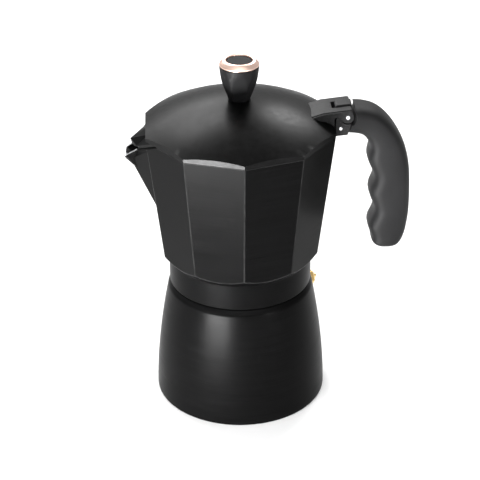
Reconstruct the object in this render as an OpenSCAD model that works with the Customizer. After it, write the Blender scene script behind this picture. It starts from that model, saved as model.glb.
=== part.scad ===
// Stovetop moka pot with a ten-sided upper chamber.
// +Z is up, +X points to the handle, the spout is on -X, and the pot stands on z = 0.

/* [Boiler] */
// Radius of the boiler at its base
base_r = 51; // [49:0.5:53]
// Radius of the boiler at the outer edge of its shoulder
shoulder_r = 43; // [42.6:0.1:43.5]
// Height of the shoulder's outer edge
shoulder_z = 71; // [70:0.5:72]
// Wall thickness of the boiler
boiler_wall = 2.8; // [2.4:0.1:3.2]
// Height of the neck's rim
neck_top = 87; // [86.8:0.1:87.2]

/* [Upper chamber] */
// Radius of the round collar that screws over the neck
collar_r = 42; // [41.7:0.1:42.4]
// Height of the collar's lower edge
collar_z = 74.9; // [74.7:0.1:75.2]
// Corner radius of the ten-sided wall where it starts
foot_r = 47.1; // [46.6:0.1:47.6]
// Height at which the ten-sided wall starts
foot_z = 96.2; // [95.8:0.1:96.6]
// Corner radius of the ten-sided wall at its rim
rim_r = 56.4; // [56:0.1:56.8]
// Height of the rim
rim_z = 172.2; // [172:0.1:172.4]
// Wall thickness of the chamber
chamber_wall = 2.7; // [2.4:0.1:3]

/* [Lid and knob] */
// Height of the lid's crown above its edge
crown_h = 15.3; // [14.5:0.1:16]
// Thickness of the lid
lid_wall = 2; // [1.8:0.1:2.2]
// Largest radius of the knob
knob_r = 11.3; // [10.8:0.1:11.6]
// Height of the knob's top
knob_top = 213.3; // [212.5:0.1:214]

/* [Handle] */
// Width of the handle across the hand
handle_w = 24; // [22:0.5:25]

/* [Thread] */
// Rise of the thread in one turn
thread_lead = 3; // [2.5:0.5:3.5]

/* [Hidden] */
$fn = 96;

// Boiler: the wall curves in towards the shoulder, more quickly near its top.
wall_curve = 1.8;
base_fillet = 2.6;
shoulder_top_r = 41;
shoulder_top_z = 74.2;
neck_root_r = 37.3;
neck_bore_r = 34.6;
floor_t = 3.2;

// Thread between the neck and the collar.
thread_turns = 2;
thread_steps = 30;
neck_crest_r = 38.3;
collar_root_r = 38.7;
collar_crest_r = 37.75;
thread_z = 77.4;

// Safety valve, along its own axis from the pot's axis outwards.
valve_az = 27;
valve_z = 58.5;
valve_seat = 46.2;
valve_shank_r = 4;
valve_chamber_r = 3;
valve_stem_r = 1.35;
valve_tip = 54;
valve_chamber_in = 39.2;
valve_cap_in = 48.8;
valve_washer_t = 0.8;
valve_hex_z = valve_seat + valve_washer_t;
valve_hex_t = 2.6;
valve_hex_r = 6.1;
valve_nose_z = valve_hex_z + valve_hex_t + 1.2;
valve_head_t = 1.4;

// Funnel, gasket and filter, stacked on the neck's rim.
basket_r = 33.8;
basket_z = 64;
sheet = 0.8;
flange_r = 36.6;
flange_t = 1;
stem_r = 5;
stem_end = 8;
stem_bore_r = 4.3;
gasket_z = neck_top + flange_t;
seat_z = 91.2;
gasket_r = 36.4;
filter_r = 29.8;

// Chamber.
seat_r = 37;
chamber_floor = 98.5;
column_r = 9.5;
column_top_r = 6.5;
column_top = 148;
column_bore_r = 3.5;
decagon_side = 36;
apothem = cos(decagon_side / 2);

// Hinge: the upper pin carries the lid, and the lower pin holds the handle.
hinge_x = 60.8;
hinge_z = 180.7;
hinge_r = 1.45;
knuckle_r = 3.5;
heel_room_r = 5.3;
bracket_w = 22;
tongue_w = 7.6;
handle_pin_x = 56.8;
handle_pin_z = 174.1;
handle_pin_r = 1.3;
running_gap = 0.05;

// Lid: the crown ends in a short rounded edge.
edge_z = 174.2;
corner_drop = 0.8;
corner_w = 1.9;
lid_z = rim_z + 0.15;
washer_z = edge_z + crown_h - lid_wall - 1.2;

// Spout, as places along its length: the crease with the wall, the throat and the nose.
crease = [-47.5, 25.4, rim_z];
throat = [-58.6, 7.2, 162.6];
nose = [-65.5, 6, 158.5];
tip = [-68.3, 0, 158.6];
keel = [-62.6, 2.6, 154.6];
root = [-48.6, 1.5, 123];
spout_wall = 1.6;

// ---------- shared shapes ----------

// Radius of the boiler's wall at a height.
function boiler_r(z) = base_r - (base_r - shoulder_r) * pow(z / shoulder_z, wall_curve);

// Corner radius of the ten-sided wall at a height.
function chamber_r(z) = foot_r + (rim_r - foot_r) * (z - foot_z) / (rim_z - foot_z);

// Height of the crown at a distance from the axis.
function crown_z(r) = edge_z + crown_h * (1 - pow(r / rim_r, 2));

// Point on a curve that passes through a list of points.
function through(p, t) =
    let (n = len(p) - 1, i = min(floor(t * n), n - 1), u = t * n - i,
        a = p[max(i - 1, 0)], b = p[i], c = p[i + 1], d = p[min(i + 2, n)])
    b + 0.5 * u * ((c - a) + u * ((2 * a - 5 * b + 4 * c - d) + u * (3 * b - a - 3 * c + d)));

// Mirror a point in the plane y = 0.
function across(p) = [p[0], -p[1], p[2]];

// Convex solid round a few points and their mirror images.
module wedge(half) {
    all_points = concat(half, [for (p = half) across(p)]);
    hull() polyhedron(all_points, [[for (i = [0 : len(all_points) - 1]) i]]);
}

// Ten-sided solid between two heights, flat towards +X.
module decagon(z0, r0, z1, r1) {
    translate([0, 0, z0]) rotate(decagon_side / 2) cylinder(h = z1 - z0, r1 = r0, r2 = r1, $fn = 10);
}

// Helical ridge: a trapezoid that is swept round the axis and climbs with the thread.
module ridge(root_r, crest_r, z0, root_w, crest_w) {
    n = thread_steps * thread_turns;
    rings = [for (i = [0 : n]) let (a = i * 360 / thread_steps, z = z0 + thread_lead * i / thread_steps)
        for (q = [[root_r, -root_w], [crest_r, -crest_w], [crest_r, crest_w], [root_r, root_w]])
            [q[0] * cos(a), q[0] * sin(a), z + q[1] / 2]];
    inward = crest_r < root_r;
    sides = [for (i = [0 : n - 1]) for (j = [0 : 3])
        let (a = 4 * i + j, b = 4 * i + (j + 1) % 4)
        inward ? [a, b, b + 4, a + 4] : [a + 4, b + 4, b, a]];
    ends = inward ? [[3, 2, 1, 0], [4 * n, 4 * n + 1, 4 * n + 2, 4 * n + 3]]
        : [[0, 1, 2, 3], [4 * n + 3, 4 * n + 2, 4 * n + 1, 4 * n]];
    polyhedron(rings, concat(sides, ends), convexity = 6);
}

// Holes in rings round a centre, for the screen and the filter.
module hole_rings(rings, pitch, r, z, h) {
    for (k = [1 : rings]) for (i = [0 : 6 * k - 1])
        rotate(i * 60 / k) translate([k * pitch, 0, z]) cylinder(h = h, r = r, $fn = 6);
}

// Bring a shape that is drawn along +X to the valve's place on the boiler.
module at_valve() {
    translate([0, 0, valve_z]) rotate(valve_az) rotate([0, 90, 0]) children();
}

// Round bar across the pot at a place in the plane y = 0.
module crossbar(x, z, r, w) {
    translate([x, w / 2, z]) rotate([90, 0, 0]) cylinder(h = w, r = r);
}

// Outline in the plane y = 0, made as thick as w and centred there.
module plate(points, w, y = 0) {
    translate([0, y + w / 2, 0]) rotate([90, 0, 0]) linear_extrude(w) polygon(points);
}

// ---------- boiler and safety valve ----------

module boiler_outside() {
    fillet = [for (a = [0 : 15 : 75])
        [base_r - base_fillet + base_fillet * sin(a), base_fillet - base_fillet * cos(a)]];
    wall = [for (i = [0 : 14]) let (z = base_fillet + (shoulder_z - base_fillet) * i / 14) [boiler_r(z), z]];
    rotate_extrude() polygon(concat([[0, 0]], fillet, wall,
        [[shoulder_top_r, shoulder_top_z], [neck_root_r, shoulder_top_z + 0.6],
        [neck_root_r, neck_top], [0, neck_top]]));
}

module boiler_inside() {
    throat_z = shoulder_z - 1;
    wall = [for (i = [0 : 10]) let (z = floor_t + 2 + (throat_z - floor_t - 5) * i / 10)
        [boiler_r(z) - boiler_wall, z]];
    rotate_extrude() polygon(concat([[0, floor_t], [base_r - boiler_wall - 2, floor_t]], wall,
        [[neck_bore_r, throat_z + 3], [neck_bore_r, neck_top + 1], [0, neck_top + 1]]));
}

module boiler() {
    color("#1c1c1e") difference() {
        union() {
            difference() {
                union() {
                    boiler_outside();
                    ridge(neck_root_r - 0.4, neck_crest_r, thread_z, 1.7, 0.7);
                }
                boiler_inside();
            }
            at_valve() translate([0, 0, valve_seat - 7]) cylinder(h = 7.05, r = 7.6);
        }
        at_valve() translate([0, 0, valve_seat]) cylinder(h = 8, r = 8.2);
        at_valve() translate([0, 0, 30]) cylinder(h = 25, r = valve_shank_r);
    }
}

module valve_washer() {
    color("#b87333") at_valve() translate([0, 0, valve_seat]) difference() {
        cylinder(h = valve_washer_t, r = 6.6);
        translate([0, 0, -1]) cylinder(h = 3, r = valve_shank_r + running_gap);
    }
}

module valve_body() {
    inner_end = valve_chamber_in - 1.4;
    color("#c9a24b") at_valve() difference() {
        union() {
            translate([0, 0, inner_end]) cylinder(h = valve_hex_z - inner_end, r = valve_shank_r);
            translate([0, 0, valve_hex_z]) cylinder(h = valve_hex_t, r = valve_hex_r, $fn = 6);
            translate([0, 0, valve_hex_z + valve_hex_t]) cylinder(h = 1.2, r1 = 5, r2 = 4.2);
        }
        translate([0, 0, valve_chamber_in]) cylinder(h = 20, r = valve_chamber_r);
        translate([0, 0, 30]) cylinder(h = 20, r = 1.6);
    }
}

module valve_cap() {
    color("#d4af5a") at_valve() difference() {
        union() {
            translate([0, 0, valve_cap_in]) cylinder(h = valve_nose_z - valve_cap_in, r = valve_chamber_r);
            translate([0, 0, valve_nose_z]) cylinder(h = 1.1, r1 = 3.9, r2 = 2.6);
        }
        translate([0, 0, 40]) cylinder(h = 20, r = valve_stem_r + running_gap);
    }
}

module valve_pin() {
    stem_z = valve_chamber_in + valve_head_t;
    color("#d9b864") at_valve() {
        translate([0, 0, valve_chamber_in]) cylinder(h = valve_head_t, r = 2.7);
        translate([0, 0, stem_z]) cylinder(h = valve_tip - 1.2 - stem_z, r = valve_stem_r);
        translate([0, 0, valve_tip - 1.2]) cylinder(h = 1.2, r1 = valve_stem_r, r2 = 0.6);
    }
}

module valve_spring() {
    coils = 5;
    steps = 14;
    sides = 6;
    wire = 0.28;
    z0 = valve_chamber_in + valve_head_t + wire + 0.02;
    rise = (valve_cap_in - wire - 0.02 - z0) / (coils * steps);
    rings = [for (i = [0 : coils * steps]) let (a = i * 360 / steps)
        for (j = [0 : sides - 1]) let (b = j * 360 / sides, r = 2.1 + wire * cos(b))
            [r * cos(a), r * sin(a), z0 + rise * i + wire * sin(b)]];
    last = coils * steps * sides;
    skin = [for (i = [0 : coils * steps - 1]) for (j = [0 : sides - 1])
        let (a = i * sides + j, b = i * sides + (j + 1) % sides) [a + sides, b + sides, b, a]];
    color("#cfd2d6") at_valve() polyhedron(rings, concat(skin,
        [[for (j = [0 : sides - 1]) j]], [[for (j = [sides - 1 : -1 : 0]) last + j]]), convexity = 8);
}

// ---------- funnel, gasket and filter ----------

module funnel_basket() {
    color("#c4c7cb") rotate_extrude() polygon([
        [26, basket_z], [basket_r, basket_z], [basket_r, neck_top], [flange_r, neck_top],
        [flange_r, gasket_z], [basket_r - sheet, gasket_z], [basket_r - sheet, basket_z + sheet],
        [26, basket_z + sheet]]);
}

module funnel_stem() {
    cone_z = basket_z - 11;
    color("#bfc2c6") rotate_extrude() polygon([
        [stem_bore_r, stem_end], [stem_r, stem_end], [stem_r, cone_z], [31.5, basket_z - sheet],
        [32.5, basket_z - sheet], [32.5, basket_z], [30.5, basket_z], [stem_bore_r, cone_z + 0.6]]);
}

module basket_screen() {
    color("#b4b7bb") difference() {
        translate([0, 0, basket_z + sheet]) cylinder(h = 0.6, r = 32.6);
        hole_rings(5, 5, 1, basket_z, 3);
    }
}

module gasket() {
    color("#e9e6df") rotate_extrude() polygon([
        [27.2, gasket_z], [gasket_r, gasket_z], [gasket_r, seat_z], [filter_r + 0.1, seat_z],
        [filter_r + 0.1, seat_z - sheet], [27.2, seat_z - sheet]]);
}

module filter_plate() {
    color("#c9ccd0") difference() {
        union() {
            translate([0, 0, seat_z - sheet]) cylinder(h = sheet, r = filter_r);
            translate([0, 0, seat_z - sheet - 0.6]) cylinder(h = 0.7, r = 26.6);
        }
        hole_rings(6, 3.9, 0.8, seat_z - 3, 4);
    }
}

// ---------- upper chamber ----------

module spout_outside() {
    wedge([crease, throat, keel, root, [-40, 20, rim_z], [-40, 1.5, 123]]);
    wedge([throat, nose, tip, keel, [-65.2, 3.2, 155.3], [-55, 7, 160], [-55, 3, 145]]);
}

// The channel keeps the wall's thickness inside the spout and is open above.
module spout_inside() {
    w = spout_wall;
    up = [0, 0, 12];
    c = crease + [1.5, -2.4, 0.5];
    t = throat + [0, -w, 0.5];
    n = nose + [w, -w - 0.2, 0.4];
    k = keel + [1.8, -1.4, 2.8];
    wedge([c, c + up, t, t + up, k, root + [3.6, -1, 6], [-35, 20, rim_z + 8], [-35, 1, 130]]);
    wedge([t, t + up, n, n + up, tip + [2, 0, 0.4], tip + [2, 0, 10], k, [-52, 4, 160]]);
}

// Room above the sloping rim of the spout, which also takes off the wall's corners there.
module spout_slope() {
    cut = 0.1;
    plate([[crease[0] + cut, rim_z + 3], [crease[0] + cut, rim_z - cut], [throat[0], throat[2] - cut],
        [nose[0], nose[2] - cut], [tip[0] - 2, nose[2] - cut], [tip[0] - 2, rim_z + 3]], 80);
}

// Cheeks and tongue of the hinge, cast on the wall under the lid's arms.
module bracket() {
    difference() {
        plate([[48, 169.4], [53.4, 169.3], [60.9, 170.1], [62.3, 174.9], [63.5, 180.2], [54, 180.2],
            [54, 172.2], [48, 172.2]], bracket_w);
        for (s = [-1, 1]) translate([0, s * (bracket_w + tongue_w) / 4, 0])
            crossbar(hinge_x, hinge_z, knuckle_r + 0.6, (bracket_w - tongue_w) / 2 + 0.2);
        plate([[55, 165], [66, 165], [66, 178.1], [55, 178.1]], tongue_w + 1);
    }
    plate([[54, 178.1], [63.4, 178.1], [63.6, 186.3], [55.3, 185.4], [54.1, 184.4]], tongue_w);
}

module collector() {
    color("#1a1a1c") difference() {
        union() {
            translate([0, 0, collar_z]) cylinder(h = foot_z - collar_z - 4.4, r = collar_r);
            intersection() {
                decagon(90, chamber_r(90), rim_z, rim_r);
                rotate_extrude() polygon([[0, 91], [collar_r, 91], [60, 109], [60, rim_z], [0, rim_z]]);
            }
            spout_outside();
            bracket();
        }
        difference() {
            union() {
                decagon(chamber_floor, chamber_r(chamber_floor) - chamber_wall / apothem,
                    rim_z + 1, chamber_r(rim_z + 1) - chamber_wall / apothem);
                spout_inside();
            }
            translate([0, 0, chamber_floor - 1])
                cylinder(h = column_top - chamber_floor + 1, r1 = column_r, r2 = column_top_r);
            translate([0, 0, chamber_floor - 1]) cylinder(h = 5, r1 = 16, r2 = 9.5);
        }
        difference() {
            translate([0, 0, collar_z - 1]) cylinder(h = 90.2 - collar_z + 1, r = collar_root_r);
            ridge(collar_root_r + 0.4, collar_crest_r, thread_z + thread_lead / 2, 1.7, 0.7);
        }
        translate([0, 0, 89]) cylinder(h = seat_z - 89, r = seat_r);
        translate([0, 0, seat_z - 1]) cylinder(h = 4.2, r = 26);
        translate([0, 0, seat_z + 3.1]) cylinder(h = 1.6, r1 = 26, r2 = 8);
        translate([0, 0, seat_z]) cylinder(h = 80, r = column_bore_r);
        crossbar(hinge_x, hinge_z, hinge_r, 40);
        crossbar(handle_pin_x, handle_pin_z, handle_pin_r, 40);
        spout_slope();
    }
}

module column_cap() {
    color("#c8cbcf") difference() {
        translate([0, 0, column_top - 4]) union() {
            cylinder(h = 9, r = 8.2);
            translate([0, 0, 9]) cylinder(h = 2.5, r1 = 8.2, r2 = 5);
        }
        translate([0, 0, column_top - 5]) cylinder(h = 5, r = 6.85);
        translate([0, 0, column_top - 1]) cylinder(h = 6, r = 5);
        for (s = [-1, 1]) translate([s * 6.5, 0, column_top + 2.6]) cube([5, 5, 4], center = true);
    }
}

// ---------- handle ----------

// Outer and inner edge of the handle, side by side from its root to its end.
handle_outer = [[65.4, 184.6], [71, 184.2], [78.2, 181.8], [84.6, 176.6], [90.3, 169], [95.2, 159],
    [97.9, 147], [98.9, 133], [99, 120], [98.2, 110.5], [96.6, 102.6], [93.6, 97.4], [88.6, 95.2]];
handle_inner = [[61.8, 169.6], [65.6, 169.2], [69.2, 168.2], [72.2, 165.4], [74.7, 159.6], [73.7, 151.6],
    [77.6, 140.6], [75.1, 130.6], [78.4, 119.4], [75.2, 109.4], [77.2, 102.2], [78, 97.8], [81.6, 95.3]];

// Rounded rectangle that spans from the inner to the outer edge.
function handle_ring(t, sides) =
    let (o = through(handle_outer, t), i = through(handle_inner, t), mid = (o + i) / 2, arm = (o - i) / 2,
        w = handle_w / 2 * (t < 0.9 ? 1 : 1 - 6 * pow(t - 0.9, 1.2)))
    [for (k = [0 : sides - 1]) let (a = k * 360 / sides, c = cos(a), s = sin(a),
        u = sign(c) * pow(abs(c), 0.62), v = sign(s) * pow(abs(s), 0.62))
        [mid[0] + arm[0] * u, w * v, mid[1] + arm[1] * u]];

module handle_grip() {
    rings = 48;
    sides = 20;
    points = [for (i = [0 : rings]) for (p = handle_ring(i / rings, sides)) p];
    skin = [for (i = [0 : rings - 1]) for (j = [0 : sides - 1])
        let (a = i * sides + j, b = i * sides + (j + 1) % sides) [a, b, b + sides, a + sides]];
    last = rings * sides;
    polyhedron(points, concat(skin, [[for (j = [sides - 1 : -1 : 0]) j]],
        [[for (j = [0 : sides - 1]) last + j]]), convexity = 6);
}

module handle() {
    color("#2b2c2e") difference() {
        union() {
            difference() {
                handle_grip();
                crossbar(hinge_x, hinge_z, heel_room_r, handle_w + 2);
            }
            plate([[55.4, 170.9], [66, 170.9], [66, 177.7], [55.4, 177.7]], tongue_w);
        }
        crossbar(handle_pin_x, handle_pin_z, handle_pin_r, 40);
    }
}

module hinge_pin() {
    color("#d8dadd") crossbar(hinge_x, hinge_z, hinge_r, bracket_w + 0.6);
}

module handle_pin() {
    color("#d8dadd") crossbar(handle_pin_x, handle_pin_z, handle_pin_r, bracket_w + 0.4);
}

// ---------- lid and knob ----------

// Outline of the crown from the axis to the edge, lowered by t.
function crown(t) = concat([for (i = [0 : 12]) let (r = (rim_r - corner_w) * i / 12) [r, crown_z(r) - t]],
    [[rim_r - corner_w / 3, edge_z - t + 0.1], [rim_r, edge_z - t - corner_drop]]);

module lid_arms() {
    arm_w = (bracket_w - tongue_w) / 2 - 0.4;
    root_points = [[36, 178], [36, 182.2], [50, 183.9], [62.2, 185.2], [63.1, 184.8], [63.4, 183.9],
        [63.9, 182.4], [hinge_x, hinge_z], [54, 180.8], [53.2, 180], [53.2, 174.6]];
    for (s = [-1, 1]) {
        plate(root_points, arm_w, s * (bracket_w - arm_w) / 2);
        translate([0, s * (bracket_w - arm_w) / 2, 0]) crossbar(hinge_x, hinge_z, knuckle_r, arm_w);
    }
    plate([[36, 178], [36, 182.2], [50, 183.9], [52.4, 184.1], [52.4, 174.6]], bracket_w - 1);
}

// Roof over the spout's throat, which leaves the nose open: a flat slope with a ridge along it.
module spout_cover() {
    lift = [0, 0, 0.3];
    c = crease + [0.4, -0.4, 0.3];
    t = throat + [-0.2, -0.7, 0];
    edge_top = t + [-0.1, -0.3, 2];
    wedge([c + lift, c + [0, 0, 1.8], t + lift, edge_top, [-46, 8, 176.5], [-40, 20, 177.2]]);
    wedge([t + lift, edge_top, [-62.4, 0, 166.6], [-61.6, 0, 163.4], [-53, 0, 173.1], [-50, 10, 173.4]]);
}

module lid() {
    color("#1d1d1f") difference() {
        union() {
            intersection() {
                rotate_extrude() polygon(concat(crown(0),
                    [[rim_r, lid_z + 0.5], [rim_r - 0.5, lid_z], [0, lid_z]]));
                decagon(lid_z - 1, rim_r, 200, rim_r);
            }
            spout_cover();
            lid_arms();
        }
        intersection() {
            rotate_extrude() polygon(concat(crown(lid_wall), [[rim_r, 160], [0, 160]]));
            decagon(160, rim_r - 3, 200, rim_r - 3);
        }
        wedge([crease + [4, -5, -2], crease + [4, -5, 1.6], throat + [0, -2.4, -3], throat + [-0.5, -3, 1],
            [-66, 1, 157.5], [-66, 0.5, 159.6], [-50, 4, 170.3], [-44, 18, 174], [-44, 18, 168]]);
        crossbar(hinge_x, hinge_z, hinge_r + running_gap, 40);
        translate([0, 0, 170]) cylinder(h = 30, r = 2.6);
    }
}

module knob_washer() {
    color("#c9ccd0") translate([0, 0, washer_z]) difference() {
        cylinder(h = 1, r = 6);
        translate([0, 0, -1]) cylinder(h = 3, r = 2.6);
    }
}

module knob_screw() {
    color("#c9ccd0") {
        translate([0, 0, washer_z]) cylinder(h = 17, r = 2.4);
        translate([0, 0, washer_z - 2.2]) difference() {
            cylinder(h = 2.2, r1 = 3.6, r2 = 4.6);
            translate([0, 0, 0.4]) cube([1, 12, 2], center = true);
        }
    }
}

module knob_body() {
    z0 = edge_z + crown_h + 0.05;
    color("#151516") difference() {
        rotate_extrude() polygon([[0, z0], [5.4, z0], [5.8, z0 + 1.6], [6.6, z0 + 2.4], [7.7, z0 + 6],
            [9.3, z0 + 11.4], [10.4, z0 + 15.6], [knob_r, z0 + 19.6], [knob_r, z0 + 20.6], [8.6, z0 + 20.6],
            [8.6, z0 + 22.2], [0, z0 + 22.2]]);
        translate([0, 0, z0 - 1]) cylinder(h = 17, r = 2.4);
        translate([0, 0, knob_top - 1.6]) cylinder(h = 4, r = 7.2);
    }
}

module knob_ring() {
    color("#d9a58c") rotate_extrude() polygon([
        [8.6, knob_top - 3.15], [knob_r, knob_top - 3.15], [knob_r, knob_top - 2.4], [10.4, knob_top - 1.1],
        [9, knob_top - 0.3], [7.9, knob_top], [7.4, knob_top - 0.4], [7.4, knob_top - 1.55],
        [8.6, knob_top - 1.55]]);
}

module knob_inlay() {
    color("#0d0d0e") translate([0, 0, knob_top - 1.6]) cylinder(h = 1, r = 7.1);
}

boiler();
valve_washer();
valve_body();
valve_spring();
valve_cap();
valve_pin();
funnel_basket();
funnel_stem();
basket_screen();
gasket();
filter_plate();
collector();
column_cap();
handle();
handle_pin();
hinge_pin();
lid();
knob_washer();
knob_screw();
knob_body();
knob_ring();
knob_inlay();
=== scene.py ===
# %% [markdown]
# # A moka pot
# This file dresses a stovetop moka pot. The measured model is loaded first and stays fixed, and the
# visible pieces are then modelled over it with rounded edges and real surfaces.
# Lengths are written in millimetres, because that is how such a pot is drawn, and a piece is brought
# to metres when it is finished. +Z is up, +X points to the handle and -X to the spout.

# %% Load the measured model
from math import atan2, cos, hypot, pi, radians, sin

import bmesh
import bpy
from mathutils import Matrix, Vector


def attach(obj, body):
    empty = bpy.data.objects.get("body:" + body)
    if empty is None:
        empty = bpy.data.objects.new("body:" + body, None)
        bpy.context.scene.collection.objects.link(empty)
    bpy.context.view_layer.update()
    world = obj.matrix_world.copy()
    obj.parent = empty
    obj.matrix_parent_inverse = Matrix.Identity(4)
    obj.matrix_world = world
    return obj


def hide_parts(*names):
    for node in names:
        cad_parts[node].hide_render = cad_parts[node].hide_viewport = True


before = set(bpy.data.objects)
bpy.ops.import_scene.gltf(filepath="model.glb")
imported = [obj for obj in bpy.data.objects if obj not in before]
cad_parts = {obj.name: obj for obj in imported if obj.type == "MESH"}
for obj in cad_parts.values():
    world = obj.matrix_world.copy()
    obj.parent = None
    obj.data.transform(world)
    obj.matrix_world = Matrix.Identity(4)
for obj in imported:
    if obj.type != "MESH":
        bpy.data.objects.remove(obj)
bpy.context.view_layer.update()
mm = 0.001

# %% [markdown]
# ## Camera
# The pot is seen from a little above, with a long lens, so that its sides hardly converge.
# A camera could be aimed with a constraint, but its place and its three directions say exactly how it
# stands, so they are written here: a turn round the vertical, a tilt down, and a very small roll.

# %% Camera
camera_place = Vector((-42.2, -842.0, 563.9)) * mm
tilt_down = 0.5048
turn_left = 0.0501
roll = 0.0045
lens_length, sensor_width = 121.8825, 36

along = Vector((sin(turn_left) * cos(tilt_down), cos(turn_left) * cos(tilt_down), -sin(tilt_down)))
level = Vector((cos(turn_left), -sin(turn_left), 0))
rising = level.cross(along)
side = level * cos(roll) - rising * sin(roll)
top = rising * cos(roll) + level * sin(roll)

camera_data = bpy.data.cameras.new("camera")
camera_data.sensor_width = sensor_width
camera_data.lens = lens_length
camera = bpy.data.objects.new("camera", camera_data)
bpy.context.scene.collection.objects.link(camera)
turned_frame = Matrix((side, top, -along)).transposed().to_4x4()
camera.matrix_world = Matrix.Translation(camera_place) @ turned_frame
bpy.context.scene.camera = camera
print(f"lens {camera_data.lens:.1f} mm, {camera_place.length:.2f} m from the pot's foot")

# %% [markdown]
# ## Tools for the shapes
# Most of a moka pot is turned on a lathe: an outline is spun round the upright axis. The outline is a
# short list of corners, and a third number at a corner rounds it by that radius, as a real edge is.
# `turned` spins it with bmesh's spin operator and then closes the poles by merging doubles.

# %% Helpers: rounding an outline and spinning it


def rounded(outline, closed=True, steps=4):
    """The outline with each corner that has a third number rounded by that radius."""
    points, count = [], len(outline)
    for i, corner in enumerate(outline):
        here = Vector(corner[:2])
        inner = closed or 0 < i < count - 1
        if len(corner) < 3 or not inner:
            points.append(here)
            continue
        back = Vector(outline[i - 1][:2]) - here
        ahead = Vector(outline[(i + 1) % count][:2]) - here
        reach = min(corner[2], back.length * 0.45, ahead.length * 0.45)
        start, end = here + back.normalized() * reach, here + ahead.normalized() * reach
        for k in range(steps + 1):
            t = k / steps
            points.append(start * (1 - t) ** 2 + here * 2 * t * (1 - t) + end * t ** 2)
    return points


def turned(outline, steps=96, closed=True, turns=1, rise=0.0):
    """A solid of revolution round the pot's axis, or a screw thread where rise isn't zero."""
    bm = bmesh.new()
    ring = [bm.verts.new((p[0], 0, p[1])) for p in outline]
    edges = [bm.edges.new((a, b)) for a, b in zip(ring, ring[1:])]
    if closed:
        edges.append(bm.edges.new((ring[-1], ring[0])))
    whole = rise == 0
    bmesh.ops.spin(bm, geom=ring + edges, cent=(0, 0, 0), axis=(0, 0, 1), angle=2 * pi * turns,
                   steps=steps * turns, dvec=(0, 0, rise / steps), use_merge=whole)
    if whole:
        bmesh.ops.remove_doubles(bm, verts=bm.verts, dist=1e-4)
    else:
        bmesh.ops.holes_fill(bm, edges=bm.edges, sides=len(ring))
    bmesh.ops.recalc_face_normals(bm, faces=bm.faces)
    return bm


# %% [markdown]
# Parts of the hinge are flat plates: an outline in the plane of the handle, given a thickness.
# The spout and its cover are easiest as the tightest skin round a few points, which bmesh calls a
# convex hull. Two solids are joined or cut with a Boolean modifier, which is then made permanent.

# %% Helpers: plates, hulls and cuts


def plate(outline, width, middle=0.0, edge=0.0):
    """A plate whose outline lies in the plane of the handle, with its edges rounded."""
    bm = bmesh.new()
    face = bm.faces.new([bm.verts.new((p[0], middle - width / 2, p[1])) for p in outline])
    grown = bmesh.ops.extrude_face_region(bm, geom=[face])
    moved = [g for g in grown["geom"] if isinstance(g, bmesh.types.BMVert)]
    bmesh.ops.translate(bm, verts=moved, vec=(0, width, 0))
    bmesh.ops.recalc_face_normals(bm, faces=bm.faces)
    if edge:
        crisp = [e for e in bm.edges if e.calc_face_angle(0) > radians(40)]
        round_edges(bm, crisp, edge)
    return bm


def round_edges(bm, edges, size, steps=3):
    """Bevel edges, and mark the new faces where a lighter edge colour goes: wear, and on the lid a
    painted highlight.
    """
    wear_and_highlight = bm.faces.layers.float.get("wear_and_highlight") or bm.faces.layers.float.new("wear_and_highlight")
    made = bmesh.ops.bevel(bm, geom=edges, offset=size, affect="EDGES", segments=steps, profile=0.5,
                           material=-1, clamp_overlap=True)
    for face in made["faces"]:
        face[wear_and_highlight] = 1.0


def hull(points):
    """The tightest closed skin round the points and their mirror images across the handle's plane."""
    bm = bmesh.new()
    for x, y, z in points:
        for s in (-1, 1):
            bm.verts.new((x, s * y, z))
    bmesh.ops.remove_doubles(bm, verts=bm.verts, dist=1e-5)
    skin = bmesh.ops.convex_hull(bm, input=bm.verts)
    bmesh.ops.delete(bm, geom=list({g for g in skin["geom_interior"] + skin["geom_unused"]
                                    if isinstance(g, bmesh.types.BMVert)}), context="VERTS")
    bmesh.ops.recalc_face_normals(bm, faces=bm.faces)
    return bm


def loose(bm, name="tool"):
    """A plain object from a bmesh, still in millimetres, for a Boolean modifier to read."""
    mesh = bpy.data.meshes.new(name)
    bm.to_mesh(mesh)
    bm.free()
    obj = bpy.data.objects.new(name, mesh)
    bpy.context.scene.collection.objects.link(obj)
    return obj


def carved(bm, steps):
    """Joins or cuts bm with other solids in turn: steps is a list of (operation, bmesh)."""
    base = loose(bm, "blank")
    tools = [(operation, loose(tool)) for operation, tool in steps]
    for operation, tool in tools:
        change = base.modifiers.new("carve", "BOOLEAN")
        change.operation, change.solver, change.object = operation, "EXACT", tool
    shown = base.evaluated_get(bpy.context.evaluated_depsgraph_get())
    result = bmesh.new()
    result.from_mesh(shown.to_mesh())
    shown.to_mesh_clear()
    for obj in [base] + [tool for _, tool in tools]:
        bpy.data.objects.remove(obj)
    return result


# %% [markdown]
# A finished piece is brought to metres, shaded smooth except over sharp edges, tied to the body that
# it moves with, and its part of the measured model is hidden. Weighted normals keep the
# big flat faces looking flat beside their rounded edges.

# %% Helper: finish a piece


def finish_piece(bm, name, body, node, materials, sharp=32, weighted=True):
    """Make the object, shade it, tie it to its body, and hide its measured node."""
    bmesh.ops.scale(bm, vec=(mm, mm, mm), verts=bm.verts)
    for face in bm.faces:
        face.smooth = True
    for edge in bm.edges:
        edge.smooth = edge.calc_face_angle(0) < radians(sharp)
    mesh = bpy.data.meshes.new(name)
    bm.to_mesh(mesh)
    bm.free()
    for material in materials:
        mesh.materials.append(material)
    obj = bpy.data.objects.new(name, mesh)
    bpy.context.scene.collection.objects.link(obj)
    if weighted:
        normals = obj.modifiers.new("flat faces", "WEIGHTED_NORMAL")
        normals.keep_sharp = True
    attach(obj, body)
    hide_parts(node)
    print(f"{name}: {len(mesh.polygons)} faces")
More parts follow.
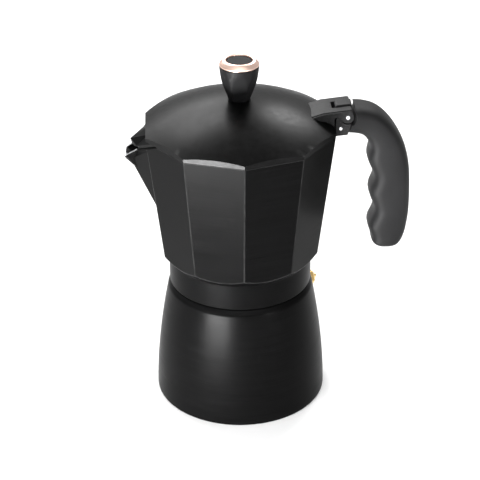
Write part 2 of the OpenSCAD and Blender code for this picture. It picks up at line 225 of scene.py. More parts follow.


# %% [markdown]
# ## Finishes
# Each finish is a small node tree on Object coordinates, put together from a few helpers: the shader
# itself, a stretched noise, a noise brought to a range or run through two colours, a relief, and a
# lighter colour along the edges, which is wear on most pieces and a painted highlight on the lid.
# The shader doesn't guess where the edges are: the bevels wrote them in an attribute of the faces.

# %% Helpers: node trees


def finish(name, colour, metallic=0.0, roughness=0.5, **sockets):
    """A material with its shader, ready for nodes."""
    material = bpy.data.materials.new(name)
    material.use_nodes = True
    tree = material.node_tree
    shader = tree.nodes["Principled BSDF"]
    shader.inputs["Base Color"].default_value = (*colour, 1)
    shader.inputs["Metallic"].default_value = metallic
    shader.inputs["Roughness"].default_value = roughness
    for label, value in sockets.items():
        shader.inputs[label.replace("_", " ")].default_value = value
    return material, tree, shader


def grain(tree, scale, detail, stretch=(1, 1, 1)):
    """A noise on Object coordinates, drawn out along an axis by a Mapping node."""
    place = tree.nodes.new("ShaderNodeTexCoord")
    mapping = tree.nodes.new("ShaderNodeMapping")
    mapping.inputs["Scale"].default_value = stretch
    noise = tree.nodes.new("ShaderNodeTexNoise")
    noise.inputs["Scale"].default_value = scale
    noise.inputs["Detail"].default_value = detail
    tree.links.new(place.outputs["Object"], mapping.inputs["Vector"])
    tree.links.new(mapping.outputs["Vector"], noise.inputs["Vector"])
    return noise.outputs["Fac"]


def spread(tree, value, low, high, start=0.3, end=0.7):
    """Brings a noise to the range from low to high."""
    node = tree.nodes.new("ShaderNodeMapRange")
    node.inputs["From Min"].default_value = start
    node.inputs["From Max"].default_value = end
    node.inputs["To Min"].default_value = low
    node.inputs["To Max"].default_value = high
    tree.links.new(value, node.inputs["Value"])
    return node.outputs["Result"]


def shades(tree, value, dark, light, start=0.35, end=0.65):
    """Runs a value through two colours."""
    ramp = tree.nodes.new("ShaderNodeValToRGB")
    ramp.color_ramp.elements[0].position = start
    ramp.color_ramp.elements[1].position = end
    ramp.color_ramp.elements[0].color = (*dark, 1)
    ramp.color_ramp.elements[1].color = (*light, 1)
    tree.links.new(value, ramp.inputs["Fac"])
    return ramp.outputs["Color"]


def relief(tree, shader, value, depth):
    """Raises the surface by a value, at most by the depth in millimetres."""
    bump = tree.nodes.new("ShaderNodeBump")
    bump.inputs["Distance"].default_value = depth * mm
    tree.links.new(value, bump.inputs["Height"])
    tree.links.new(bump.outputs["Normal"], shader.inputs["Normal"])


def edge_wear_and_highlight(tree, colour, wear_and_highlight_colour, amount, patches):
    """Mixes a lighter colour over the colour, along bevels and in patches of a noise: wear, and on the
    lid a painted highlight.
    """
    edge = tree.nodes.new("ShaderNodeAttribute")
    edge.attribute_name = "wear_and_highlight"
    share = tree.nodes.new("ShaderNodeMath")
    share.operation = "MULTIPLY"
    tree.links.new(edge.outputs["Fac"], share.inputs[0])
    tree.links.new(spread(tree, patches, amount * 0.3, amount), share.inputs[1])
    mix = tree.nodes.new("ShaderNodeMix")
    mix.data_type = "RGBA"
    mix.inputs["B"].default_value = (*wear_and_highlight_colour, 1)
    tree.links.new(share.outputs["Value"], mix.inputs["Factor"])
    tree.links.new(colour, mix.inputs["A"])
    return mix.outputs["Result"]


# %% [markdown]
# The pot's own finish is a black satin coating over brushed aluminium. The brushing lies in level
# lines, so the noise is squeezed along Z until it becomes fine horizontal lines. It moves the
# roughness and raises the surface by about a hundredth of a millimetre. The lid isn't brushed, and
# the hinge has a rougher, greyer coat. Along the bevels a lighter colour is mixed in: a little wear
# on the body and the hinge, and on the lid a painted highlight that draws its bright edge lines.

# %% Finish: black satin coating


def satin_coat(name, lines, base=0.0016, rough=(0.3, 0.4), wear_and_highlight_amount=0.3, gloss=0.032, bare_and_highlight=0.05):
    """Black coating with brushed lines; `lines` stretches the noise along the brushing."""
    material, tree, shader = finish(name, (base,) * 3, Specular_IOR_Level=gloss)
    brushed = grain(tree, 1.0, detail=4, stretch=lines)
    cloudy = grain(tree, 22, detail=2)
    colour = shades(tree, brushed, (base * 0.75,) * 3, (base * 1.45, base * 1.45, base * 1.5))
    # along the bevels a lighter colour: a little wear, and on the lid a painted highlight
    colour = edge_wear_and_highlight(tree, colour, (bare_and_highlight,) * 3, wear_and_highlight_amount, grain(tree, 160, detail=4))
    tree.links.new(colour, shader.inputs["Base Color"])
    uneven = tree.nodes.new("ShaderNodeMath")
    uneven.operation = "ADD"
    tree.links.new(spread(tree, brushed, rough[0] - 0.04, rough[1] - 0.04), uneven.inputs[0])
    tree.links.new(spread(tree, cloudy, 0.0, 0.06), uneven.inputs[1])
    tree.links.new(uneven.outputs["Value"], shader.inputs["Roughness"])
    relief(tree, shader, brushed, 0.012)
    return material


body_coat = satin_coat("body_coat", (35, 35, 2600))
# on the lid the bright colour along the bevels is a painted highlight for its edge lines
lid_coat = satin_coat("lid_coat", (300, 300, 300), rough=(0.33, 0.4), wear_and_highlight_amount=0.9, bare_and_highlight=0.3,
                      gloss=0.09)
cast_coat = satin_coat("cast_coat", (900, 900, 900), base=0.011, rough=(0.42, 0.55), gloss=0.15)
print("coated finishes:", [m.name for m in (body_coat, lid_coat, cast_coat)])

# %% [markdown]
# Where there is no coating the metal itself shows: the lip of the spout, the inside of the chamber
# and of the boiler, the filter and the funnel. The noise is stretched into rings on turned walls.

# %% Finish: bare aluminium


def bare_metal(name, colour, rough, lines, depth=0.01, tarnish=0.85):
    """Uncoated metal with tool marks and a slight tarnish."""
    material, tree, shader = finish(name, colour, metallic=1.0)
    marks = grain(tree, 1.0, detail=3, stretch=lines)
    dull = tuple(c * tarnish for c in colour)
    tree.links.new(shades(tree, grain(tree, 70, detail=4), dull, colour), shader.inputs["Base Color"])
    tree.links.new(spread(tree, marks, rough - 0.07, rough + 0.09), shader.inputs["Roughness"])
    relief(tree, shader, marks, depth)
    return material


inner_metal = bare_metal("inner_metal", (0.55, 0.555, 0.565), 0.42, (60, 60, 900))
lip_metal = bare_metal("lip_metal", (0.82, 0.83, 0.84), 0.24, (300, 300, 300), depth=0.004)
sheet_metal = bare_metal("sheet_metal", (0.66, 0.67, 0.68), 0.3, (40, 40, 1500))
brass_metal = bare_metal("brass_metal", (0.83, 0.58, 0.24), 0.2, (800, 800, 800), depth=0.004)
copper_metal = bare_metal("copper_metal", (0.8, 0.42, 0.28), 0.3, (700, 700, 700), depth=0.004)
spring_metal = bare_metal("spring_metal", (0.6, 0.61, 0.63), 0.22, (900, 900, 900), depth=0.003)
pin_metal = bare_metal("pin_metal", (0.86, 0.87, 0.88), 0.18, (600, 600, 600), depth=0.004)
print("bare metals ready")

# %% [markdown]
# The knob and the grip are moulded, and the ring is a plated metal with a pink tone.
# The grip has a soft-touch lacquer: it scatters light widely, so it is rough with a little sheen.

# %% Finish: moulded parts and plated ring


def moulded(name, colour, rough, pores, depth, sheen=0.0, gloss=0.5):
    """A moulded plastic or rubber with fine pores."""
    material, tree, shader = finish(name, colour, Sheen_Weight=sheen, Sheen_Roughness=0.5,
                                    Specular_IOR_Level=gloss)
    fine = grain(tree, pores, detail=5)
    broad = grain(tree, 45, detail=2)
    light = tuple(c * 1.35 for c in colour)
    tree.links.new(shades(tree, broad, colour, light), shader.inputs["Base Color"])
    tree.links.new(spread(tree, fine, rough - 0.06, rough + 0.08), shader.inputs["Roughness"])
    relief(tree, shader, fine, depth)
    return material


grip_rubber = moulded("grip_rubber", (0.0065, 0.0065, 0.0068), 0.58, 2600, 0.03, sheen=0.03,
                      gloss=0.14)
knob_plastic = moulded("knob_plastic", (0.006, 0.006, 0.0063), 0.52, 2200, 0.02, gloss=0.09)
inlay_plastic = moulded("inlay_plastic", (0.012, 0.012, 0.0125), 0.62, 1500, 0.01, gloss=0.12)
gasket_rubber = moulded("gasket_rubber", (0.74, 0.72, 0.66), 0.6, 1400, 0.02)
rose_metal = bare_metal("rose_metal", (0.96, 0.69, 0.58), 0.36, (90, 90, 90), depth=0.003,
                        tarnish=0.93)
print("moulded and plated finishes ready")

# %% [markdown]
# ## Boiler
# The lower half of the pot is pressed and turned from thick aluminium: a wide base, a wall that
# curves in, and a narrow shoulder under the collar. One outline, outside and inside together, is
# spun, so the wall has its real thickness when the pot is unscrewed. The base has a shallow recess.
# The coat covers the outside down to a small depth; every face that lies deeper is bare metal.

# %% Boiler shell
base_radius, shoulder_radius, shoulder_height = 51.0, 43.0, 71.0
base_rounding, wall_start, boiler_wall = 2.8, 3.4, 2.8
neck_radius, neck_bore, neck_top = 37.3, 34.6, 87
coat_depth = 1.2


def wall_radius(z):
    """Radius of the boiler's outside at a height."""
    return base_radius - (base_radius - shoulder_radius) * (z / shoulder_height) ** 1.8


wall_heights = [wall_start + (shoulder_height - wall_start) * i / 18 for i in range(19)]
outside = [(base_radius, 0, base_rounding)] + [(wall_radius(z), z) for z in wall_heights[:-1]]
inside = [(wall_radius(z) - boiler_wall, z) for z in reversed(wall_heights[1:-1])]
boiler_outline = rounded(
    [(0, 0.9), (38, 0.9, 0.5), (39.2, 0, 0.6)] + outside
    + [(shoulder_radius, shoulder_height, 0.9), (41, 74.1, 0.9), (neck_radius, 74.7, 0.4),
       (neck_radius, neck_top, 0.4), (neck_bore, neck_top, 0.4), (neck_bore, 75, 3)]
    + inside + [(wall_radius(6) - 4, 3.2, 3), (0, 3.2)], closed=False)
boiler = turned(boiler_outline, steps=128)
for face in boiler.faces:
    middle = face.calc_center_median()
    radius = hypot(middle.x, middle.y)
    skin = wall_radius(min(max(middle.z, 0), shoulder_height)) - coat_depth
    within = radius < skin and coat_depth < middle.z < shoulder_height
    on_neck = middle.z > 76.2 or (middle.z > shoulder_height and radius < 36.5)
    in_recess = middle.z < coat_depth and radius < 38.5
    face.material_index = 1 if within or on_neck or in_recess else 0
finish_piece(boiler, "boiler_shell", "boiler", "boiler", [body_coat, inner_metal], weighted=False)

# %% [markdown]
# The neck has a coarse screw thread. It is the same spin, but with a rise, so the small trapezoid
# climbs round the neck. The collar of the chamber has the matching ridge inside.

# %% Screw thread of the neck
thread_pitch, thread_turns = 3.0, 2


def screw_thread(root, crest, z):
    """A trapezoid ridge that climbs round the axis, from its root radius to its crest."""
    profile = [(root, z - 0.85), (crest, z - 0.35), (crest, z + 0.35), (root, z + 0.85)]
    return turned(profile, steps=72, turns=thread_turns, rise=thread_pitch)


finish_piece(screw_thread(37.0, 38.3, 77.4), "neck_thread", "boiler", "boiler", [inner_metal],
             weighted=False)

# %% [markdown]
# The safety valve sits in a small pad on the wall. Everything on the valve is drawn along +X and then
# swung to its place: the pad, the washer, the hexagon with its nose, and the plunger's tip.

# %% Safety valve
valve_angle, valve_height = 27, 58.5
valve_turn = Matrix.Rotation(radians(valve_angle), 4, "Z") @ Matrix.Rotation(radians(90), 4, "Y")
valve_place = Matrix.Translation((0, 0, valve_height)) @ valve_turn


def at_valve(bm):
    """Swings a shape that stands on Z to the valve's place."""
    bmesh.ops.transform(bm, matrix=valve_place, verts=bm.verts)
    bmesh.ops.recalc_face_normals(bm, faces=bm.faces)
    return bm


pad = at_valve(turned(rounded([(0, 40), (7.6, 40), (7.6, 46.2, 0.7), (0, 46.2)], closed=False), 48))
finish_piece(pad, "valve_pad", "boiler", "boiler", [body_coat])
washer = at_valve(turned(rounded([(4.1, 46.2), (6.6, 46.2, 0.3), (6.6, 47, 0.3), (4.1, 47)]), 48))
finish_piece(washer, "valve_ring", "boiler", "valve_washer", [copper_metal])

hexagon = bmesh.new()
bmesh.ops.create_cone(hexagon, cap_ends=True, segments=6, radius1=6.1, radius2=6.1, depth=2.6,
                      matrix=Matrix.Translation((0, 0, 48.3)))
round_edges(hexagon, hexagon.edges[:], 0.35)
finish_piece(at_valve(hexagon), "valve_hexagon", "boiler", "valve_body", [brass_metal])
nose = turned(rounded([(0, 49.4), (5, 49.4), (5, 49.7, 0.3), (4.2, 50.8, 0.5), (3.1, 50.8, 0.2),
                       (3.1, 50.2), (0, 50.2)], closed=False), 48)
finish_piece(at_valve(nose), "valve_nose", "boiler", "valve_body", [brass_metal])
shank = turned(rounded([(0, 38), (1.8, 38), (4, 38, 0.3), (4, 47.2), (0, 47.2)], closed=False), 48)
finish_piece(at_valve(shank), "valve_shank", "boiler", "valve_body", [brass_metal])
cap = turned(rounded([(1.42, 50.3), (3.9, 50.8, 0.5), (3.6, 51.3, 0.4), (2.6, 51.85, 0.4),
                      (1.42, 51.85)]), 48)
finish_piece(at_valve(cap), "valve_crimp", "boiler", "valve_cap", [brass_metal])
plunger = turned(rounded([(0, 39.3), (2.6, 39.3, 0.2), (2.6, 40.5, 0.2), (1.34, 40.7),
                          (1.34, 53.2, 0.5), (0.6, 54, 0.4), (0, 54)], closed=False), 32)
finish_piece(at_valve(plunger), "valve_plunger", "valve_pin", "valve_pin", [brass_metal])

# %% [markdown]
# ## Upper chamber
# The chamber is cast with ten flat sides that lean outwards, and it ends below in a round collar.
# It starts as a turned shape with as few rings as it needs. Then the rings of the wall are pressed
# from circles to ten-sided ones, which is what the casting mould does. Where the cone below meets the
# flats, the edge rises and falls in small arches, so that ring is slid along the cone to the flats.

# %% Chamber: outline and flats
sides = 10
half_side = pi / sides
foot_height, rim_height = 96.2, 172.2
foot_corner, rim_corner = 47.1, 56.4
collar_radius, cone_start = 42.0, 91.0
chamber_wall, rim_wall = 2.7, 3
arch_ring = (44.5, 93.5)
outer_rings = [(49, 120), (52, 150), (rim_corner, rim_height)]
inner_rings = [(rim_corner - rim_wall, rim_height), (47, 140), (43, 110), (40, 98.5)]


def corner_radius(z):
    """Distance from the axis to a corner of the ten sides at a height."""
    return foot_corner + (rim_corner - foot_corner) * (z - foot_height) / (rim_height - foot_height)


def from_middle(point):
    """Angle between a point and the middle of its nearest side."""
    return (atan2(point.y, point.x) + half_side) % (2 * half_side) - half_side


def flat_radius(z, angle, inset=0.0):
    """Distance from the axis to a flat side, seen at an angle from its middle."""
    return (corner_radius(z) * cos(half_side) - inset) / cos(angle)


def set_radius(vertex, radius):
    """Moves a point along its own ray from the axis."""
    scale = radius / hypot(vertex.co.x, vertex.co.y)
    vertex.co.x *= scale
    vertex.co.y *= scale


chamber_outline = rounded(
    [(collar_radius, 74.9, 0.8), (collar_radius, cone_start, 0.5), arch_ring]
    + outer_rings + inner_rings
    + [(16, 98.5, 2), (9.5, 102.5, 2), (6.5, 148), (3.5, 148), (3.5, 95.9), (8, 95.9, 0.5),
       (26, 94.3), (26, 91.2), (37, 91.2), (37, 90.2), (38.7, 90.2), (38.7, 74.9, 0.5)])
chamber = turned(chamber_outline, steps=120)
print("chamber blank:", len(chamber.faces), "faces")

# %% [markdown]
# The heights of the outline are what tells the rings apart: each ring of the wall gets its flats, the
# inner ones one wall thickness further in.

# %% Chamber: press the flats


def near(value, target):
    """Whether two lengths are the same to a hundredth of a millimetre."""
    return abs(value - target) < 0.01


def on_ring(radius, z, rings):
    """Whether a point lies on one of the rings, each a radius and a height."""
    return any(near(radius, r) and near(z, h) for r, h in rings)


for vertex in chamber.verts:
    radius, z, angle = hypot(vertex.co.x, vertex.co.y), vertex.co.z, from_middle(vertex.co)
    if on_ring(radius, z, [arch_ring]):
        # the height at which the cone and the leaning flat are equally far from the axis
        cone_at_zero = corner_radius(0) * cos(half_side) / cos(angle)
        lean = (rim_corner - foot_corner) / (rim_height - foot_height) * cos(half_side) / cos(angle)
        z_meet = (cone_at_zero - collar_radius + cone_start) / (1 - lean)
        vertex.co.z = z_meet
        set_radius(vertex, collar_radius + z_meet - cone_start)
    elif on_ring(radius, z, outer_rings):
        set_radius(vertex, flat_radius(z, angle))
    elif on_ring(radius, z, inner_rings):
        set_radius(vertex, flat_radius(z, angle, chamber_wall))

bmesh.ops.dissolve_limit(chamber, angle_limit=radians(0.6), verts=chamber.verts, edges=chamber.edges)
corner_edges, foot_edges = [], []
for edge in chamber.edges:
    a, b = edge.verts
    low, high = sorted((a.co.z, b.co.z))
    outer = all(hypot(v.co.x, v.co.y) > flat_radius(v.co.z, from_middle(v.co)) - 0.05
                for v in (a, b))
    if outer and low > 93 and edge.calc_face_angle(0) > radians(20):
        (corner_edges if high - low > 20 else foot_edges).append(edge)
rim_edges = [e for e in foot_edges if min(v.co.z for v in e.verts) > rim_height - 1]
foot_edges = [e for e in foot_edges if e not in rim_edges]
print(len(corner_edges), "corner,", len(foot_edges), "foot and", len(rim_edges), "rim edges rounded")
round_edges(chamber, corner_edges + foot_edges + rim_edges, 0.45)

# %% [markdown]
# The spout is a narrow beak: its sides leave the flats at a crease and meet in a keel below. It is
# built of two hulls, one from the wall to the throat and one from the throat to the nose. A smaller
# pair of hulls cuts the channel, and a sloping cutter takes the rim down along the beak.

# %% Spout
crease, throat, beak = (-47.5, 25.4, 172.2), (-58.6, 7.2, 162.6), (-65.5, 6.0, 158.5)
tip, keel, spout_root = (-68.3, 0.0, 158.6), (-62.6, 2.6, 154.6), (-48.6, 1.5, 123.0)
nose_x, nose_rim, beak_slope = -65.5, 158.4, 0.594


def shifted(point, x=0.0, y=0.0, z=0.0):
    """A point moved by a few millimetres."""
    return (point[0] + x, point[1] + y, point[2] + z)


beak_outside = [
    hull([crease, throat, keel, spout_root, (-40, 20, 172.2), (-40, 1.5, 123)]),
    hull([throat, beak, tip, keel, (-65.2, 3.2, 155.3), (-55, 7, 160), (-55, 3, 145)])]
inner_crease, inner_throat = shifted(crease, 1.5, -2.4, 0.5), shifted(throat, 0, -1.6, 0.5)
inner_beak, inner_keel = shifted(beak, 1.2, -1.2, 0.4), shifted(keel, 1.8, -1.4, 2.8)
inner_tip = shifted(tip, 1.3, 0, 0.4)
channel = [
    hull([inner_crease, shifted(inner_crease, z=12), inner_throat, shifted(inner_throat, z=12),
          inner_keel, shifted(spout_root, 3.6, -1, 6), (-35, 20, 180), (-35, 1, 130)]),
    hull([inner_throat, shifted(inner_throat, z=12), inner_beak, shifted(inner_beak, z=12), inner_tip,
          shifted(inner_tip, z=10), inner_keel, (-52, 4, 160)])]
slope = plate([(-47.4, 175), (-47.4, 172.1), (-58.6, 162.5), (nose_x, nose_rim), (-71, nose_rim),
               (-71, 175)], 80)
chamber = carved(chamber, [("UNION", part) for part in beak_outside]
                 + [("DIFFERENCE", part) for part in channel] + [("DIFFERENCE", slope)])
print("chamber with its spout:", len(chamber.faces), "faces")

# %% [markdown]
# The inside of the chamber and of the collar is bare metal, and so is the top edge of the lip round
# the nose. The coat covers the rest. The channel from where the beak leaves the chamber gets the
# black coat too, as painted shade for the dark inside of the beak.

# %% Chamber: what is coated and what is bare
floor_level, painted_shade_from_x, lip_start_x, lip_tolerance = 98, -48, -58.3, 0.25
beak_start_x, beak_half, beak_foot = -45, 24, 120
for face in chamber.faces:
    middle, normal = face.calc_center_median(), face.normal
    radius = hypot(middle.x, middle.y)
    beak_rim = nose_rim + max(middle.x - nose_x, 0) * beak_slope
    on_rim = normal.z > 0.5 and abs(middle.z - beak_rim) < lip_tolerance
    at_beak = middle.x < beak_start_x and abs(middle.y) < beak_half and middle.z > beak_foot
    in_spout = at_beak and radius > 47 and (normal.x > 0.3 or normal.z > 0.3)
    deep = radius * cos(from_middle(middle)) < flat_radius(middle.z, 0) - 1.5
    in_chamber = deep and middle.z > floor_level
    in_collar = radius < collar_radius - 1 and middle.z < floor_level
    if on_rim and middle.x < lip_start_x:
        face.material_index = 2
    # inside faces nearer the nose keep the black coat, which paints the shade in the channel
    elif (in_chamber or in_collar or in_spout) and middle.x > painted_shade_from_x:
        face.material_index = 1
bmesh.ops.remove_doubles(chamber, verts=chamber.verts, dist=1e-3)
finish_piece(chamber, "chamber_shell", "collector", "collector", [body_coat, inner_metal, lip_metal],
             sharp=28)
finish_piece(screw_thread(38.9, 37.75, 78.9), "collar_thread", "collector", "collector",
             [inner_metal], weighted=False)

# %% [markdown]
# ## Lid
# The lid is a shallow dome with the chamber's ten-sided outline. Because the dome is round and the
# outline isn't, each side keeps a small crescent-shaped face, tallest in its middle. So the dome is
# turned with an edge ring and a bottom ring, both are pressed to the ten sides, and the edge ring is
# lifted onto the dome at its new distance from the axis.

# %% Lid dome
lid_bottom, crown_edge, crown_rise = 172.35, 174.2, 15.3
lid_wall, lid_rim_wall = 2, 2.2


def dome_height(radius):
    """Height of the dome at a distance from the axis."""
    return crown_edge + crown_rise * (1 - (radius / rim_corner) ** 2)


dome_rings = [(r, dome_height(r)) for r in range(3, 53, 3)]
lid_outline = ([(0, dome_height(0))] + dome_rings
               + [(rim_corner, crown_edge), (rim_corner, lid_bottom),
                  (rim_corner - rim_wall, lid_bottom), (50, 174)]
               + [(r, dome_height(r) - lid_wall) for r in (44, 34, 22, 10, 0)])
lid = turned(lid_outline, steps=120, closed=False)
for vertex in lid.verts:
    radius, z, angle = hypot(vertex.co.x, vertex.co.y), vertex.co.z, from_middle(vertex.co)
    straight = rim_corner * cos(half_side) / cos(angle)
    if near(radius, rim_corner):
        set_radius(vertex, straight)
        vertex.co.z = lid_bottom if near(z, lid_bottom) else dome_height(straight)
    elif near(radius, rim_corner - rim_wall) and near(z, lid_bottom):
        set_radius(vertex, straight - lid_rim_wall)
print("lid blank:", len(lid.faces), "faces")

# %% [markdown]
# A hood grows out of the lid over the throat of the spout and leaves the nose open. It is a wide roof
# slab from the lid's edge to the throat, with a ridge along its middle that runs on a little way
# towards the nose. The hood is thin, so a smaller hull is cut out from under both.

# %% Hood over the spout
hood_crease, hood_throat = shifted(crease, 0.4, -0.4, 0.3), shifted(throat, -0.2, -0.7, 0)
hood_edge = shifted(hood_throat, -0.1, -0.3, 2)
hood = hull([shifted(hood_crease, z=0.3), shifted(hood_crease, z=1.8), shifted(hood_throat, z=0.3),
             hood_edge, (-53, 0, 173.1), (-46, 8, 176.5), (-40, 20, 177.2)])
hood_ridge = hull([shifted(hood_throat, z=0.3), hood_edge, (-62.4, 0, 166.6), (-61.6, 0, 163.4),
                   (-53, 0, 173.1), (-50, 10, 173.4)])
under_hood = hull([shifted(crease, 4, -5, -2), shifted(crease, 4, -5, 1.6),
                   shifted(throat, 0, -2.4, -3), shifted(throat, -0.5, -3, 1), (-66, 1, 157.5),
                   (-66, 0.5, 159.6), (-50, 4, 170.3), (-44, 18, 174), (-44, 18, 168)])
lid = carved(lid, [("UNION", hood), ("UNION", hood_ridge), ("DIFFERENCE", under_hood)])
bmesh.ops.remove_doubles(lid, verts=lid.verts, dist=1e-3)
lid_flat = rim_corner * cos(half_side)
edge_lines = []
for edge in lid.edges:
    middle = (edge.verts[0].co + edge.verts[1].co) / 2
    radius = hypot(middle.x, middle.y)
    on_rim = radius > lid_flat - 0.4 and edge.calc_face_angle(0) > radians(24)
    if on_rim and edge.calc_length() > 0.6:
        edge_lines.append(edge)
print(len(edge_lines), "edges of the lid are rounded")
round_edges(lid, edge_lines, 0.3, 2)
for face in lid.faces:
    middle = face.calc_center_median()
    radius = hypot(middle.x, middle.y)
    below = middle.z < dome_height(radius) - coat_depth and radius < lid_flat - 0.6
    face.material_index = 1 if below and middle.x > -50 else 0
finish_piece(lid, "lid_dome", "lid", "lid", [lid_coat, inner_metal], sharp=28)

# %% [markdown]
# ## Hinge
# Two arms of the lid lie over the cheeks of a cast bracket, with a tongue between them, and a saddle
# joins the arms over the dome. Each arm has a slightly lower ledge along its outer side. The upper pin
# carries the arms and the lower pin holds the grip. Each part is a plate with rounded edges, and the
# round knuckles are arcs in the outlines.

# %% Hinge plates
hinge_x, hinge_z, pin_x, pin_z = 60.8, 180.7, 56.8, 174.1
bracket_width, tongue_width = 22, 7.6
ledge_drop, ledge_width, ledge_lap = 0.5, 1.1, 0.6
pocket_radius, knuckle_radius, knuckle_room_radius = 4.1, 3.5, 5.3
lid_pin_radius, grip_pin_radius = 1.45, 1.3


def arc(radius, start, end, count=10, x=hinge_x, z=hinge_z):
    """Points on a circle round the hinge, between two angles in degrees."""
    return [(x + radius * cos(radians(start + (end - start) * i / count)),
             z + radius * sin(radians(start + (end - start) * i / count))) for i in range(count + 1)]


cheek_outline = ([(50, 169.4), (53.4, 169.3), (60.9, 170.1), (62.3, 174.9)]
                 + arc(pocket_radius, -60, -173)
                 + [(54, 180.2), (54, 172.6), (50, 172.6)])
cheek_width = (bracket_width - tongue_width) / 2
for s, label in ((-1, "front"), (1, "back")):
    cheek = plate(cheek_outline, cheek_width, s * (bracket_width - cheek_width) / 2, edge=0.35)
    finish_piece(cheek, "bracket_cheek_" + label, "collector", "collector", [cast_coat])
tongue = plate([(54.1, 178.1), (63.4, 178.1), (63.6, 186.3), (55.3, 185.4), (54.1, 184.5)],
               tongue_width, edge=0.45)
finish_piece(tongue, "bracket_tongue", "collector", "collector", [cast_coat])
web = plate([(50, 169.6), (55.2, 169.8), (55.2, 183.6), (54.2, 183.6), (54, 172.6), (50, 172.6)],
            tongue_width + 2, edge=0.2)
finish_piece(web, "bracket_web", "collector", "collector", [cast_coat])

arm_width = cheek_width - 0.4


def arm_outline(drop):
    """Side view of an arm, its upper edge lowered a little, with the round knuckle at its end."""
    return ([(40, 179.5), (40, 181.2 - drop), (47, 183.5 - drop), (62.2, 185.2 - drop),
             (63.1, 184.8 - drop), (63.4, 183.9 - drop)]
            + arc(knuckle_radius, 25, -120) + [(54, 180.8), (53.2, 180), (53.2, 175), (50, 178)])


for s, label in ((-1, "front"), (1, "back")):
    arm = plate(arm_outline(0), arm_width - ledge_width,
                s * (bracket_width - arm_width - ledge_width) / 2, edge=0.3)
    finish_piece(arm, "lid_arm_" + label, "lid", "lid", [cast_coat])
    ledge = plate(arm_outline(ledge_drop), ledge_width + ledge_lap,
                  s * (bracket_width - ledge_width - ledge_lap) / 2, edge=0.4)
    finish_piece(ledge, "lid_ledge_" + label, "lid", "lid", [cast_coat])
saddle = plate([(39, 179.4), (39, 181), (47, 183.5), (52.3, 184.05), (52.3, 175.5), (48, 177.5)],
               bracket_width - 2.4, edge=0.4)
finish_piece(saddle, "lid_saddle", "lid", "lid", [cast_coat])


def pin(x, z, radius, length):
    """A rivet across the pot with domed ends."""
    bm = turned(rounded([(0, -length / 2), (radius * 0.7, -length / 2, 0.2),
                         (radius, -length / 2 + 0.45, 0.3), (radius, length / 2 - 0.45, 0.3),
                         (radius * 0.7, length / 2, 0.2), (0, length / 2)], closed=False), 32)
    bmesh.ops.transform(bm, matrix=Matrix.Translation((x, 0, z)) @ Matrix.Rotation(pi / 2, 4, "X"),
                        verts=bm.verts)
    return bm


lid_pin = pin(hinge_x, hinge_z, lid_pin_radius, bracket_width + 0.6)
finish_piece(lid_pin, "lid_pin", "collector", "hinge_pin", [pin_metal])
grip_pin = pin(pin_x, pin_z, grip_pin_radius, bracket_width + 0.4)
finish_piece(grip_pin, "grip_pin", "collector", "handle_pin", [pin_metal])

# %% [markdown]
# ## Grip
# The grip is moulded: its back is one long curve, and its front has four places for the fingers. It
# is lofted: a ring for each cross-section, bridged to the next one. The rings follow two curves, one
# along the back and one along the front. A round cutter makes room for the knuckles at its root.

# %% Grip
grip_back = [(65.4, 184.6), (71, 184.2), (78.2, 181.8), (84.6, 176.6), (90.3, 169), (95.2, 159),
             (97.9, 147), (98.88, 133), (98.97, 120), (98.2, 110.5), (96.6, 102.6), (93.6, 97.4),
             (88.6, 95.2)]
grip_front = [(61.8, 169.6), (65.6, 169.2), (69.2, 168.2), (72.2, 165.4), (74.7, 159.6),
              (73.7, 151.6), (77.6, 140.6), (75.1, 130.6), (78.4, 119.4), (75.2, 109.4),
              (77.2, 102.2), (78, 97.8), (81.6, 95.3)]
grip_width, grip_squareness, grip_rings = 24.0, 0.62, 72


def along_curve(points, t):
    """A smooth curve through the points, from t = 0 to 1."""
    last = len(points) - 1
    i = min(int(t * last), last - 1)
    u = t * last - i
    a, b, c, d = (Vector(points[min(max(k, 0), last)]) for k in (i - 1, i, i + 1, i + 2))
    return b + 0.5 * u * ((c - a) + u * ((2 * a - 5 * b + 4 * c - d) + u * (3 * b - a - 3 * c + d)))


def grip_section(bm, t):
    """One ring of the grip, a rounded rectangle from its front to its back."""
    back, front = along_curve(grip_back, t), along_curve(grip_front, t)
    middle, reach = (back + front) / 2, (back - front) / 2
    narrowing = 1 if t < 0.9 else 1 - 6 * (t - 0.9) ** 1.2
    made = bmesh.ops.create_circle(bm, segments=32, radius=1)["verts"]
    for vertex in made:
        c, s = vertex.co.x, vertex.co.y
        u = abs(c) ** grip_squareness * (1 if c > 0 else -1)
        v = abs(s) ** grip_squareness * (1 if s > 0 else -1)
        place = middle + reach * u
        vertex.co = (place.x, grip_width / 2 * narrowing * v, place.y)
    return list({edge for vertex in made for edge in vertex.link_edges})


grip = bmesh.new()
rings = [grip_section(grip, i / grip_rings) for i in range(grip_rings + 1)]
for one, other in zip(rings, rings[1:]):
    bmesh.ops.bridge_loops(grip, edges=one + other)
bmesh.ops.holes_fill(grip, edges=grip.edges, sides=40)
bmesh.ops.recalc_face_normals(grip, faces=grip.faces)
end_edges = [e for e in rings[-1] if e.is_valid]
round_edges(grip, end_edges, 1.4, 4)
room_half = grip_width / 2 + 2
knuckle_room = turned([(0, -room_half), (knuckle_room_radius, -room_half),
                       (knuckle_room_radius, room_half), (0, room_half)], 48)
across_hinge = Matrix.Translation((hinge_x, 0, hinge_z)) @ Matrix.Rotation(pi / 2, 4, "X")
bmesh.ops.transform(knuckle_room, verts=knuckle_room.verts, matrix=across_hinge)
grip = carved(grip, [("DIFFERENCE", knuckle_room)])
finish_piece(grip, "grip_body", "collector", "handle", [grip_rubber], sharp=40, weighted=False)
tenon = plate([(55.5, 171), (64, 171), (64, 177.6), (55.5, 177.6)], tongue_width - 0.2, edge=0.3)
finish_piece(tenon, "grip_tenon", "collector", "handle", [grip_rubber])

# %% [markdown]
# ## Knob
# The knob flares upwards. Six tilted flats are cut into it, and because it flares, each flat ends
# above in a pointed arch. So it is turned first, and the points that stand proud of a flat are then
# pressed in to it. A plated ring and a disc close it above.

